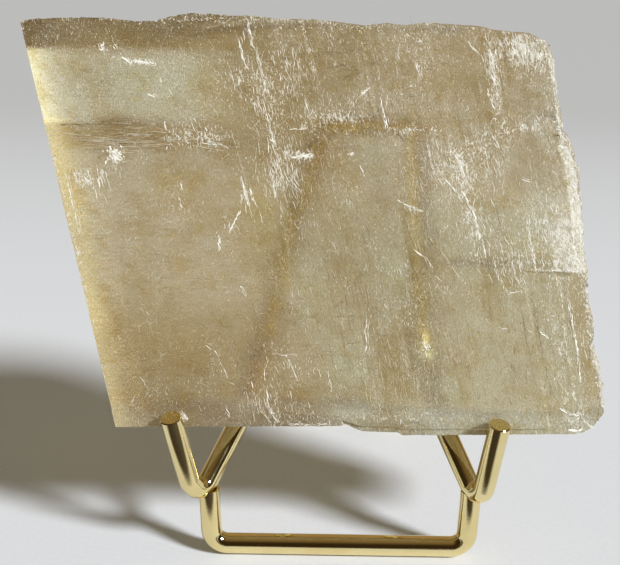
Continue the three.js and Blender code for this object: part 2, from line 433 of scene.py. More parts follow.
def face_tint(s, t):
    """Colour multiplier of the face: its stains and tones, with painted light and shade."""
    tint = np.ones((*s.shape, 3))

    def stain_or_painted_light(color, amount):
        tint[:] *= color ** amount[..., None]

    mottle = 0.5 + 0.5 * waviness.octaves(s / 7, t / 1.6 + 60)
    patches = waviness.octaves(s / 10 + 80, t / 8 + 20)
    stain_or_painted_light(UMBER, 0.8 * zone(s, t, (-60, -6), (87.9, 97), 9, 2.0) * (0.7 + 0.6 * mottle))
    stain_or_painted_light(UMBER, 0.45 * zone(s, t, (-6, 60), (80, 97), 12, 12))
    stain_or_painted_light(UMBER, 0.35 * spot(s, t, 0, 82, 14, 9))
    # Painted light: the golden light of the brass arch seen through the face, along its line and along its
    # top.
    stain_or_painted_light(GOLD, 1.5 * painted_arch_light(s, t) + 1.3 * spot(s, t, 14, 71.4, 8, 1.5))
    # Painted light: the amber spot that the arch throws forward.
    stain_or_painted_light(AMBER, np.clip(painted_glow(s, t), 0, 1))
    stain_or_painted_light(UMBER, 0.9 * zone(s, t, (-49.5, -16), (65.8, 70.9), 3, 2.6) * (0.35 + 1.1 * mottle))
    stain_or_painted_light(UMBER, 0.5 * zone(s, t, (-17, 8), (62, 78), 10, 9))
    # Painted shade: the lower left of the face is darkened where the stone's shadow on the floor shows
    # through.
    stain_or_painted_light(UMBER, 0.55 * zone(s, t, (-50, -8), (4, 28), 14, 16))
    uneven = 1 + 0.8 * waviness.octaves(s / 2.0 + 30, t / 5 + 12)
    stain_or_painted_light(UMBER, uneven * patches_of(TAN_PATCHES, s, t))
    stain_or_painted_light(GREEN_GREY, uneven * patches_of(PALE_PATCHES, s, t))
    stain_or_painted_light(GOLD, uneven * patches_of(GOLD_PATCHES, s, t))
    stain_or_painted_light(UMBER, 0.55 * zone(s, t, (57.7, 61), (8, 37.5), 0.7, 1.5, wave=0.3))
    stain_or_painted_light(UMBER, 0.55 * ease(patches * 1.6) * ease((s + 60) / 20))
    stain_or_painted_light(GREEN_GREY, 0.6 * zone(s, t, (-46, -9), (72, 87), 7, 2.5))
    stain_or_painted_light(GREEN_GREY, 0.9 * zone(s, t, (-3, 60), (-8, 54), 16, 16))
    # Painted light: the golden strip along the left edge.
    stain_or_painted_light(GOLD, 1.2 * painted_left_gold(s, t))
    stain_or_painted_light(GOLD, 0.4 * zone(s, t, (-14, -4), (34, 60), 5, 12))
    # Painted light: the bright patch near the top of the left edge.
    stain_or_painted_light(SUNLIT, painted_left_glow(s, t))
    return tint


def face_haze(s, t):
    """How much of the light the face scatters instead of letting through, 0 to 1."""
    haze = 0.11 + 0.07 * waviness.octaves(s / 9 + 3, t / 9) + 0.08 * ease((s - 12) / 30)
    haze += 0.08 * zone(s, t, (-50, -14), (30, 64), 10, 10)
    # The painted light of the arch, its bright spot and the left edge also makes these places milky, so that
    # it shines brighter.
    haze += 0.65 * painted_glow(s, t) + 0.07 * painted_arch_light(s, t) + 0.14 * zone(s, t, (-24, 22), (3.5, 7.5), 8, 3)
    haze += 0.07 * spot(s, t, 40, 56, 10, 12)
    haze += 0.85 * painted_left_glow(s, t)
    haze += 0.15 * zone(s, t, (-46, -10), (72, 87), 7, 3) + 0.10 * patches_of(PALE_PATCHES, s, t)
    haze += 0.16 * zone(s, t, (50, 66), (39.2, 57), 9, 5.0)
    haze += 0.35 * zone(s, t, (61.3, 68), (39.0, 67.4), 2.0, 1.0, wave=0.8)
    haze += 0.50 * painted_left_gold(s, t)
    haze += 0.20 * zone(s, t, (-2, 66), (-8, 5), 8, 4, wave=0.3)
    return np.clip(haze, 0, 1)


# Places with frost on them: middle s, t, reach in s and t, density.
FROST_SPOTS = [
    (62.5, 54, 1.3, 15, 0.8), (60.5, 44, 2.5, 6, 0.7), (56, 47, 6, 9, 0.5), (59.5, 40.5, 3, 2, 0.6),
    (57, 88, 6, 4, 0.6), (49, 82, 1.5, 9, 0.45), (54, 72, 5, 2, 0.3), (37, 62, 5, 7, 0.4),
    (39, 50, 2.5, 8, 0.35), (45, 67, 5, 5, 0.4), (-2.5, 72, 4, 20, 0.25), (-2, 61, 5, 6, 0.2),
    (4, 83, 4, 9, 0.15), (13, 73, 7, 1.8, 0.4), (29, 70.6, 6, 1.2, 0.4), (3, 64.5, 3, 1.2, 0.6),
    (-38.4, 63.9, 1.7, 2, 0.8), (-46.3, 58.2, 2, 2.2, 0.5), (-41.5, 60, 2, 1.2, 0.4),
    (-29, 85, 3.5, 0.8, 0.6), (-35.6, 88, 1.2, 1, 0.6), (-27, 77.4, 0.9, 0.5, 0.8),
    (-18, 68.3, 4.5, 2.6, 0.5), (-24, 68, 2.5, 2.5, 0.35), (-11, 56, 1.2, 3.5, 0.5),
    (-15.5, 48.3, 1.6, 1.4, 0.5), (-19, 45, 0.8, 2.5, 0.45), (-8.5, 15, 6, 4, 0.3), (-13, 4, 6, 4, 0.3),
    (45, 42, 5, 7, 0.4), (53.5, 20, 2.5, 14, 0.3), (55, 3, 3, 2.5, 0.4), (-36.2, 2.6, 0.9, 0.8, 0.8),
    (13, 3.5, 12, 1.2, 0.3), (26, 53, 3, 1.2, 0.4), (33, 84, 1.5, 3, 0.3), (-7.5, 81, 2, 3, 0.35),
]

# Clear places in between: middle s, t, reach in s and t, strength.
CLEAR_WINDOWS = [
    (40, 20, 9, 12, 0.3), (51, 61, 3.5, 6, 0.3), (41, 80, 6, 7, 0.25), (19, 60, 3.5, 9, 0.25),
    (15, 85, 9, 5, 0.2), (53, 79, 3, 4, 0.3), (-32, 79, 8, 5, 0.15), (-30, 30, 12, 12, 0.15),
]


def face_frost(s, t):
    """How densely the face is scratched and flaked, 0 to 1."""
    frost = 0.12 + 0.10 * ease((s + 12) / 30) + 0.08 * ease((t - 50) / 30)
    frost += 0.15 * waviness.octaves(s / 6 + 33, t / 8 + 44)
    for *place, amount in FROST_SPOTS:
        frost += amount * spot(s, t, *place)
    frost = np.clip(frost - patches_of(CLEAR_WINDOWS, s, t), 0, None)
    rim = np.minimum(right_edge(t) - s, top_edge(s) - t)
    frost += 0.35 * ease(1 - rim) + 0.3 * ease((S_LEFT + 0.9 - s) / 0.9)
    return np.clip(frost, 0, 0.9)


def surface_grid():
    """Indices i, j, k of the grid's outer points, and the quads between them."""
    shape = (GRID_S + 1, GRID_T + 1, GRID_W + 1)
    i, j, k = np.indices(shape)
    outer = (i == 0) | (i == GRID_S) | (j == 0) | (j == GRID_T) | (k == 0) | (k == GRID_W)
    index = np.full(shape, -1)
    index[outer] = np.arange(outer.sum())
    quads = []
    for sheet, flip in ((index[:, :, 0], False), (index[:, :, -1], True), (index[:, 0], True),
                        (index[:, -1], False), (index[0], False), (index[-1], True)):
        a, b, c, d = sheet[:-1, :-1], sheet[1:, :-1], sheet[1:, 1:], sheet[:-1, 1:]
        corners = (a, d, c, b) if flip else (a, b, c, d)
        quads.append(np.stack([corner.ravel() for corner in corners], axis=1))
    return i[outer], j[outer], k[outer], np.concatenate(quads)


def with_edges(s0, t0, w, on_left):
    """The grid's s and t, carried to the slab's own outline with small cleavage steps."""
    right = (
        right_edge(t0) - S_RIGHT
        - 0.3 + 0.3 * ragged.steps(t0 / 1.1, w / 2.2) + 0.3 * ragged.steps(t0 / 3.3 + 50, w / 4)
        + 0.35 * ragged.octaves(t0 / 1.5, w / 2.5))
    top = (
        top_edge(s0) - T_TOP
        - 0.15 + 0.12 * ragged.steps(s0 / 1.7 + 90, w / 4) + 0.15 * ragged.steps(s0 / 6 + 70, w / 6)
        + 0.12 * ragged.octaves(s0 / 1.5 + 30, w / 3))
    # The top face runs back along the line of sight on the right and falls away from it on the left.
    top_fall = INTO[1] / UP[1] - 0.10 + 0.30 * ease((12 - s0) / 40)
    top = top - top_fall * np.clip(w, 0, None)
    bottom = bottom_edge(s0) + 0.05 * ragged.steps(s0 / 3 + 20, w / 5)
    left = 0.06 * ragged.steps(t0 / 4 + 10, w / 4) - 0.03
    s = s0 + right * ease((s0 - S_RIGHT + EDGE_BAND) / EDGE_BAND) + left * on_left
    t = t0 + top * ease((t0 - T_TOP + EDGE_BAND) / EDGE_BAND)
    return s, t + bottom * ease((T_BOTTOM + BOTTOM_BAND - t0) / BOTTOM_BAND)


def surface_looks(s, t, i, j, k):
    """Tint, haze and frost of the slab's points."""
    on_face, on_back = k == 0, k == GRID_W
    on_side = ~(on_face | on_back)
    on_left, on_right = on_side & (i == 0), on_side & (i == GRID_S)
    uneven = waviness.octaves(s / 8 + 60, t / 5 + 7)
    tint = np.where(on_face[:, None], face_tint(s, t), UMBER ** (0.25 * ease(0.5 + uneven))[:, None])
    # The left side face gets its painted golden light.
    tint = np.where(on_left[:, None], LEFT_SIDE_PAINTED_GOLD, tint)
    haze = np.where(on_face, face_haze(s, t), 0.15 + 0.08 * waviness.octaves(s / 4 + 20, t / 9 + 66))
    for side, amount in ((on_right, 0.3), (on_side & (j == GRID_T), 0.25), (on_side & (j == 0), 0.4)):
        haze = np.where(side, amount, haze)
    frost = np.where(on_face, face_frost(s, t), np.clip(0.12 + 0.5 * uneven, 0.05, 0.6))
    return tint, haze, np.where(on_right, 0.75, frost)


def calcite_mesh(material):
    i, j, k, quads = surface_grid()
    inner_front, inner_back = front[i, j], SLAB_THICKNESS - back[i, j]
    w = inner_front + k / GRID_W * (inner_back - inner_front)
    s, t = with_edges(s_lines[i], t_lines[j], w, i == 0)
    piece = mesh_object("raw_calcite", placed(slab_points(s, t, w), slab_to_world), quads, material)
    shade(piece, 28)
    tint, haze, frost = surface_looks(s, t, i, j, k)
    add_attribute(piece, "cleave", "FLOAT_VECTOR", np.stack([s, t, w], axis=1))
    add_attribute(piece, "tint", "FLOAT_COLOR", np.concatenate([tint, np.ones((len(s), 1))], axis=1))
    add_attribute(piece, "haze", "FLOAT", haze)
    add_attribute(piece, "frost", "FLOAT", frost)
    return piece


HONEY = (0.85, 0.80, 0.63, 1)
FROST_WHITE = (0.88, 0.85, 0.74, 1)
PALE_STROKE = (0.92, 0.87, 0.69, 1)


def dashes(n, where, scale, turn, density, widest):
    """Short crisp strokes, one in each cell that the density lets in."""
    turned = n.add("ShaderNodeVectorRotate", {"Vector": where, "Angle": turn}, rotation_type="Z_AXIS")
    cell = n.add("ShaderNodeTexVoronoi", {
        "Vector": n.vector("MULTIPLY", turned.outputs[0], (*scale, 1.0)), "Scale": 1.0},
        voronoi_dimensions="2D").outputs
    lot = n.add("ShaderNodeSeparateColor", {0: cell["Color"]}).outputs[0]
    chosen = n.math("SUBTRACT", n.math("ADD", lot, density), 1.0, clamp=True)
    radius = n.times(chosen, widest)
    return n.ramp(cell["Distance"], radius, n.times(radius, 0.4))


def white_marks(n, cleave, bent, cloud, specks, frost):
    """White scratches where the frost attribute says so: strokes, specks, a net of cracks, a crust."""
    fleck = n.ramp(n.math("ADD", specks, n.times(frost, 0.20)), 0.73, 0.82)
    density = n.math("ADD", n.times(frost, 0.85), n.ramp(cloud, 0.35, 0.65, 0.0, 0.38))
    strokes = n.math("MAXIMUM", dashes(n, bent, (3.2, 0.50), 0.08, density, 0.5),
                     n.times(dashes(n, bent, (1.8, 0.22), 0.0, density, 0.34), 0.8),
                     n.times(dashes(n, bent, (4.5, 1.1), -0.25, density, 0.5), 0.8))
    net = n.add("ShaderNodeTexVoronoi", {
        "Vector": n.vector("MULTIPLY", bent, (0.42, 0.24, 0.3)), "Scale": 1.0},
        feature="DISTANCE_TO_EDGE").outputs["Distance"]
    net_patch = n.ramp(n.noise(cleave, (0.11, 0.13, 0.1), detail=5, roughness=0.7), 0.50, 0.60)
    crack = n.times(n.ramp(net, 0.0, 0.022, 1.0, 0.0), net_patch, 0.55)
    rime = n.noise(cleave, (0.9, 0.65, 1.0), detail=5, roughness=0.68, distortion=0.8)
    crust = n.ramp(n.math("ADD", rime, n.times(frost, 0.28)), 0.70, 0.78, 0.0, 0.85)
    return n.math("MAXIMUM", strokes, fleck, crack, crust)


def calcite_material():
    n = new_material("calcite")
    cleave, frost = n.attribute("cleave", "Vector"), n.attribute("frost")
    along = n.add("ShaderNodeSeparateXYZ", {0: cleave}).outputs[0]

    # The grain runs up the cleavage on the right and across it on the left, in uneven patches.
    wander = n.noise(cleave, (0.07, 0.05, 0.1))
    to_right = n.ramp(n.math("ADD", along, n.times(wander, 60.0)), 8.0, 30.0)
    grain_up, grain_across = [n.noise(cleave, scale, detail=6, roughness=0.75, distortion=0.35)
                              for scale in ((2.2, 0.45, 1.0), (0.40, 2.4, 1.0))]
    grain_both = n.add("ShaderNodeMix", {0: to_right, 2: grain_across, 3: grain_up}).outputs[0]
    cloud = n.noise(cleave, (0.16, 0.16, 0.1), detail=7, roughness=0.68)
    hair = n.noise(cleave, (5.5, 1.6, 1.0), detail=4, roughness=0.8)
    specks = n.noise(cleave, (2.4, 2.0, 1.0), detail=4, roughness=0.75, distortion=0.5)
    wobble = n.add("ShaderNodeTexNoise", {"Vector": cleave, "Scale": 0.3, "Detail": 2.0}).outputs["Color"]
    bent = n.vector("MULTIPLY_ADD", wobble, (0.5, 0.5, 0.5), cleave)
    white = white_marks(n, cleave, bent, cloud, specks, frost)

    dark_density = n.ramp(n.noise(cleave, (0.12, 0.10, 0.1)), 0.35, 0.65, 0.15, 0.65)
    dark = n.math("MAXIMUM", dashes(n, bent, (2.3, 0.32), 0.06, dark_density, 0.42),
                  dashes(n, bent, (0.36, 3.0), 0.0, dark_density, 0.40))
    pale_density = n.math("ADD", n.ramp(n.noise(cleave, (0.14, 0.11, 0.1)), 0.35, 0.65, 0.55, 0.15),
                          n.times(frost, 0.7))
    pale = n.math("MAXIMUM", dashes(n, bent, (2.7, 0.38), -0.05, pale_density, 0.42),
                  dashes(n, bent, (0.45, 2.6), 0.02, pale_density, 0.38))
    gold = dashes(n, bent, (1.3, 1.5), 0.6, n.ramp(cloud, 0.62, 0.40, 0.0, 0.5), 0.8)

    color = n.mix_color(1.0, HONEY, n.attribute("tint", "Color"), blend="MULTIPLY")
    color = n.multiplied(color, n.ramp(grain_both, 0.46, 0.28), (0.72, 0.62, 0.46, 1))
    color = n.multiplied(color, n.ramp(cloud, 0.52, 0.34), (0.84, 0.78, 0.64, 1))
    color = n.multiplied(color, n.ramp(hair, 0.50, 0.36), (0.66, 0.57, 0.42, 1))
    color = n.multiplied(color, dark, (0.48, 0.38, 0.24, 1))
    color = n.mix_color(n.times(pale, 0.6), color, PALE_STROKE)
    color = n.multiplied(color, gold, (1.0, 0.84, 0.55, 1))
    color = n.mix_color(white, color, FROST_WHITE)

    scatter = n.math("ADD", n.attribute("haze"),
                     n.times(n.ramp(grain_both, 0.52, 0.72), 0.16),
                     n.times(n.ramp(hair, 0.50, 0.66), 0.22),
                     n.times(n.math("MAXIMUM", gold, dark, pale), 0.28))
    scatter = n.math("MAXIMUM", scatter, n.times(white, 0.9), clamp=True)
    relief = n.math("ADD", grain_both, n.times(specks, frost))
    bump = n.add("ShaderNodeBump", {"Height": relief, "Strength": 0.6, "Distance": 0.00022})
    shader = n.add("ShaderNodeBsdfPrincipled", {
        "Base Color": color,
        "Roughness": n.ramp(cloud, 0.3, 0.7, 0.15, 0.25),
        "IOR": 1.6,
        "Transmission Weight": n.math("SUBTRACT", 1.0, scatter, clamp=True),
        "Normal": bump.outputs[0],
    })
    absorb = n.add("ShaderNodeVolumeAbsorption", {"Color": (0.75, 0.60, 0.205, 1), "Density": 63.0})
    return n.finish(Surface=shader.outputs[0], Volume=absorb.outputs[0])


slab = calcite_mesh(calcite_material())
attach(slab, "root")
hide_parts("calcite_slab")


# --- chips and scratches standing on the face, and inclusions under it

ACROSS_LIGHT = (-0.56, 0.67)          # the direction on the face square to the light's


class Slivers:
    """Thin closed strips laid on or under the slab's face, gathered into one mesh."""

    def __init__(self, tilts=(0.0, 0.0)):
        self.points, self.faces, self.shades = [], [], []
        self.tilts = tilts

    def strip(self, path, widths, depth, thick, shade, tilt=0.0):
        """A strip along a path of (s, t) points; depth is its top under the face (minus is proud).

        A positive tilt raises the border away from the light, so that the strip turns to it; a
        negative one raises the other border.
        """
        path, widths = np.array(path, float), np.array(widths)
        if (path[-1] - path[0]) @ ACROSS_LIGHT < 0:
            path, widths = path[::-1], widths[::-1]
        tangent = np.gradient(path, axis=0)
        tangent /= np.linalg.norm(tangent, axis=1)[:, None] + 1e-9
        side = np.stack([-tangent[:, 1], tangent[:, 0]], axis=1) * (widths[:, None] / 2)
        first = len(self.points)
        level = face_depth(path[:, 0], path[:, 1]) + depth
        for a, b, w, wide in zip(path + side, path - side, level, widths):
            high_a, high_b = w - max(tilt, 0) * wide, w - max(-tilt, 0) * wide
            self.points += [(*a, high_a), (*b, high_b), (*b, w + thick), (*a, w + thick)]
            self.shades += [shade] * 4
        last = first + 4 * (len(path) - 1)
        for q in range(first, last, 4):
            for c, d in ((0, 1), (1, 2), (2, 3), (3, 0)):
                self.faces.append((q + c, q + d, q + 4 + d, q + 4 + c))
        self.faces += [(first + 3, first + 2, first + 1, first), (last, last + 1, last + 2, last + 3)]

    def tapered(self, path, widths, taper, depth, thick, shade):
        """A strip whose ends narrow to a share of their width."""
        widths[0] *= taper
        widths[-1] *= taper
        self.strip(path, widths, depth, thick, shade, random.uniform(*self.tilts))

    def scar(self, way, width, shade=0.9, depth=-0.03, thick=0.08, gaps=0.35, strands=3):
        """A broken white line along a way of points: a few strands of dashes of uneven width."""
        way = np.array(way, float)
        along = np.concatenate([[0], np.cumsum(np.linalg.norm(np.diff(way, axis=0), axis=1))])
        total = along[-1]
        for strand in range(strands):
            place = random.uniform(0, 0.8) * strand
            aside = random.normal(0, 0.16, 2) * strand
            while place < total:
                stop = min(place + random.uniform(0.5, 2.2), total)
                count = max(3, int((stop - place) / 0.4))
                steps = np.linspace(place, stop, count)
                path = np.stack([np.interp(steps, along, way[:, c]) for c in (0, 1)], axis=1) + aside
                path += random.uniform(-0.16, 0.16, path.shape) + random.uniform(-0.12, 0.12, 2)
                widths = width / (1 + 0.6 * strand) * random.uniform(0.3, 1.2, count)
                self.tapered(path, widths, 0.3, depth, thick, shade * random.uniform(0.7, 1.1))
                place = stop + (random.uniform(0.1, 0.9) if random.random() < gaps else 0.0)

    def cluster(self, place, count, long, width, shade, lean=(0, 1), spread=0.25, depth=-0.02, thick=0.06):
        """Short loose scratches around a place (its middle and reach), mostly along one direction."""
        middle, reach = np.array(place[:2]), np.array(place[2:])
        for _ in range(count):
            at = middle + random.normal(0, 1, 2) * reach * 0.6
            if not (S_LEFT + 0.3 < at[0] < right_edge(at[1]) - 0.3 and 0.8 < at[1] < top_edge(at[0]) - 0.3):
                continue
            turn = random.normal(0, spread)
            way = (lean[0] * math.cos(turn) - lean[1] * math.sin(turn),
                   lean[0] * math.sin(turn) + lean[1] * math.cos(turn))
            length = random.uniform(*long)
            steps = max(3, int(length / 0.35))
            path = at + np.outer(np.linspace(-0.5, 0.5, steps) * length, way)
            path += random.uniform(-0.08, 0.08, path.shape)
            widths = random.uniform(*width) * random.uniform(0.4, 1.2, steps)
            self.tapered(path, widths, 0.25, depth, thick, shade * random.uniform(0.5, 1.1))

    def finish(self, name, material):
        points = placed(slab_points(*np.array(self.points).T), slab_to_world)
        piece = mesh_object(name, points, self.faces, material)
        add_attribute(piece, "shade", "FLOAT", self.shades)
        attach(piece, "root")


# Scratches read off the photo: width in millimetres, then s and t of each point along it.
SCARS = [
    (0.35, -2.9, 94.2, -2.7, 88.2), (0.35, -2.1, 87.8, -1.9, 83, -1.5, 78.2),
    (0.42, -5.5, 90.3, -5.4, 86, -5.2, 84.6, -4.9, 83.5), (0.25, -4.2, 77.7, -4.1, 74),
    (0.3, -2.7, 74, -2.5, 68), (0.3, -16.3, 95, -16.4, 93.8), (0.22, -8.5, 82.3, -8.5, 79),
    (0.32, -50.3, 59.7, -50.4, 46), (0.4, -48.4, 60.2, -48.3, 58), (0.35, -45.3, 60.8, -45.2, 57),
    (0.3, -43.1, 61, -43, 58.7), (0.3, -43.4, 58.8, -43.4, 56.5), (0.5, -11.3, 59, -11.1, 53),
    (0.35, -9.8, 57, -9.7, 54), (0.45, -13, 52, -16.5, 46.8),
    (0.5, -32, 85.8, -30.6, 84.8, -29, 85, -27.8, 84.8, -25, 84.4), (0.15, -33.6, 92, -32.9, 88.3),
    (0.3, -24.7, 81.3, -24.5, 80.2), (0.25, -23.3, 79, -22.6, 77.6), (0.3, -25.6, 72, -25.7, 69.8),
    (0.3, -18.5, 67.2, -16.5, 66.6, -14.6, 67.1, -12.9, 66), (0.12, -11.2, 70, -10.5, 60),
    (0.4, -25.1, 58, -25, 56.5), (0.3, -26.2, 54.5, -26, 52.5), (0.35, -4, 61.5, -4.5, 55),
    (0.25, -6.5, 66, -8, 60.5), (0.3, -0.5, 59.5, 1.5, 56), (0.4, 6.5, 77, 6.6, 75.3, 7.1, 74.6),
    (0.25, 15, 73.5, 18, 77.5, 19.4, 78.3), (0.55, 19.2, 78.3, 20.9, 79.8),
    (0.45, 23.1, 77.8, 23.3, 75, 23.4, 71), (0.25, 23.9, 77, 24.1, 72), (0.3, 31.6, 67.5, 31.8, 62),
    (0.35, 33.6, 68.3, 33.7, 66.8), (0.4, 37.3, 66.4, 37.6, 64.5, 38.2, 63.3, 38.5, 60, 39, 59, 40, 57.3),
    (0.35, 38.8, 63.3, 39.3, 62.8, 39.4, 60), (0.4, 34, 59.6, 36, 57.3, 36.7, 55.3),
    (0.5, 37.5, 57, 38.5, 54, 39.4, 51.3, 39.6, 46), (0.4, 40.2, 46, 40.3, 41.7),
    (0.5, 0.8, 64, 3, 64.4, 5.8, 64.8), (0.35, 1.6, 70.4, 5.5, 70.6), (0.5, 13.3, 65, 15, 65.1),
    (0.3, 15.8, 62.5, 16.2, 60.2), (0.4, 22.5, 54.7, 25, 53.3, 27.8, 52.2), (0.3, 43.3, 68.5, 43.3, 66),
    (0.28, 44.2, 67, 44.3, 64.5), (0.3, 46.5, 69.8, 47.2, 66.8), (0.35, 46.3, 64.3, 46.5, 61),
    (0.25, 46.6, 59.5, 46.6, 56), (0.4, 48.8, 89.8, 49, 88, 49.2, 85, 48.9, 82.5, 50, 80.3),
    (0.4, 47, 80, 47.4, 77.5, 48.2, 74.3), (0.35, 44.5, 90.8, 45, 89.2, 46.5, 87.5),
    (0.3, 32.3, 85.5, 32.6, 82), (0.3, 33.1, 84.5, 33, 82.3), (0.45, 33, 90.3, 34.3, 90.3),
    (0.3, 14.6, 85.6, 14.7, 84.6), (0.3, 28.7, 88.5, 28.8, 86),
    (0.28, 48, 70, 50.3, 70.5, 53, 71.5, 53.8, 72.3, 54.5, 73.6, 56.2, 74.8, 57, 73.2),
    (0.3, 53.3, 71, 53.5, 70), (0.25, 58.3, 75, 58.1, 72), (0.35, 51, 59.8, 53.5, 59.2),
    (0.3, 55.3, 52.5, 55, 51), (0.4, 50.9, 51, 51, 38), (0.5, 52.9, 42, 53, 39.5),
    (0.25, 57.7, 36.5, 57.5, 31), (0.5, 57.2, 31, 57.5, 24, 57.6, 18, 57.1, 12),
    (0.35, 55.8, 36.5, 55.9, 31.4), (0.45, 49.7, 24.4, 51.2, 22.9), (0.3, 53.5, 21, 53.8, 19),
    (0.15, 51, 31.5, 54.5, 28.5), (0.4, 51.5, 6, 53, 4.5, 56, 4.4, 56.5, 2.5, 57.2, 1.5, 58.5, 1.2),
    (0.7, 52.5, 0.6, 55.7, 0.6), (0.25, 56.3, 8, 56.5, 4.5), (0.2, 54.8, 10, 55.2, 7.8),
    (0.3, 24.5, 43.5, 27, 41, 27.8, 39), (0.15, 28, 37.5, 29.3, 36.2), (0.15, 30.3, 43.5, 32, 40, 34, 36),
    (0.35, 28.5, 46.5, 28.7, 45.3), (0.35, 10.8, 27, 9.8, 24, 9.7, 21, 8.8, 18.6), (0.3, 20, 4.9, 20.8, 4.2),
    (0.3, 41.9, 41.8, 42, 38, 42.8, 36.3, 43.2, 34.5, 44, 33.4, 46.5, 34), (0.3, 46.2, 41, 46, 37),
    (0.35, 48.1, 43, 47.5, 39), (0.25, 45.2, 47, 46.5, 43), (0.2, 37.8, 27.5, 38.6, 26),
    (0.25, 40, 25.3, 42.5, 25), (0.2, 45.5, 25.3, 48, 24.5), (0.5, -19.2, 45.5, -19.3, 42.8),
    (0.3, -16.5, 34.5, -16, 32), (0.2, -5.7, 30, -5.8, 27.5),
    (0.22, -27.5, 20.3, -25.3, 18.5, -24.9, 16, -24.1, 13.6, -23.9, 11.5, -22.8, 10.6),
    (0.25, -14, 19.5, -13.8, 17, -15.2, 14, -15.6, 12), (0.25, -12.5, 18.3, -7, 18.2),
    (0.3, -9.3, 18, -8, 12), (0.25, -0.4, 16, -0.6, 9.3), (0.35, -15.5, 9.5, -15.7, 5.5, -15.3, 3.3, -14, 2),
    (0.25, -18.3, 5, -16.3, 2), (0.15, -14.2, 9, -13.7, 2),
    (0.3, -12.2, 2.5, -12, 1.3, -8, 1.3, -2.5, 1.5, -2.6, 2.2), (0.25, -44, 12.5, -43.3, 10.5),
    (0.25, -46.3, 7.7, -47.5, 6), (0.3, -25.8, 5, -25.5, 3),
]


def sliver_material(name, dark, bright, ior):
    """Matt slivers, whose brightness follows their shade."""
    n = new_material(name)
    color = n.mix_color(n.ramp(n.attribute("shade"), 0.0, 1.0), dark, bright)
    shader = n.add("ShaderNodeBsdfPrincipled", {"Base Color": color, "Roughness": 0.6, "IOR": ior})
    return n.finish(Surface=shader.outputs[0])


# Patches of small chips lying every way: middle s, t, reach in s and t, number, brightness.
PATCHES = [
    (-38.4, 63.9, 1.5, 1.8, 70, 0.95), (-46.3, 58.2, 1.3, 1.6, 30, 0.8), (-35.6, 88, 0.8, 0.8, 16, 0.9),
    (-33, 88.2, 0.4, 0.5, 6, 0.8), (-29.5, 85, 3, 0.6, 34, 0.85), (-26.9, 77.4, 0.6, 0.3, 8, 0.9),
    (-18, 68.3, 3.6, 1.8, 40, 0.6), (-24.5, 68, 1.8, 2, 16, 0.6), (3.4, 64.4, 2.2, 0.6, 26, 0.85),
    (-2.8, 67.6, 0.6, 0.4, 6, 0.9), (-36.2, 2.6, 0.8, 0.7, 18, 0.9), (61.2, 66.9, 0.7, 0.4, 16, 0.9),
    # The chips at s 23.3, t 20.8 are a painted highlight: bright flecks for the arch's bright spot.
    (23.3, 20.8, 0.7, 2.4, 30, 0.8), (60, 91, 1.4, 0.8, 20, 0.8), (62.3, 52, 0.8, 12, 130, 0.9),
    (60, 41.5, 1.6, 2, 60, 0.9), (56, 39, 4, 0.5, 50, 0.85), (60, 38.6, 2.6, 0.4, 50, 1),
    (61.4, 79, 0.35, 10, 40, 0.7), (61, 72, 0.6, 1.6, 12, 0.8), (0, 94.2, 50, 0.4, 120, 0.55),
    (-52, 50, 0.25, 20, 50, 0.75), (61, 20, 0.5, 16, 60, 0.7), (-51.8, 42, 0.7, 1.2, 10, 0.8),
    (30.2, 80.5, 0.4, 0.6, 6, 0.9), (33.7, 90.4, 0.7, 0.3, 6, 0.9), (31.3, 91.4, 0.4, 0.3, 4, 0.9),
    (12, 73.4, 5, 0.9, 34, 0.6), (29, 70.5, 5, 0.6, 26, 0.65), (14.2, 65, 0.7, 0.4, 6, 0.85),
    (54, 2.6, 2, 1.6, 16, 0.6), (12.5, 3.4, 8, 0.6, 26, 0.5), (5, 93, 30, 1.4, 50, 0.45),
]

# Patches of scratches that mostly run up the cleavage, in the same terms.
SCRATCHED = [
    (-2, 61, 4, 5, 70, 0.7), (4, 83, 3.5, 7, 44, 0.6), (48.5, 84, 1.2, 5, 34, 0.75),
    (56, 88.5, 5, 3, 90, 0.8), (56, 47, 4.5, 7, 80, 0.7), (36, 60, 5, 8, 30, 0.6), (39, 48, 2.5, 7, 34, 0.7),
    (45, 60, 7, 9, 40, 0.5), (47, 40, 5, 6, 36, 0.6), (57.5, 22, 2, 13, 60, 0.6), (-11, 56, 1.5, 4, 22, 0.7),
    (-46, 58, 3.5, 3, 26, 0.6), (-3, 74, 2.5, 16, 60, 0.6), (-15, 6, 7, 5, 44, 0.5),
]


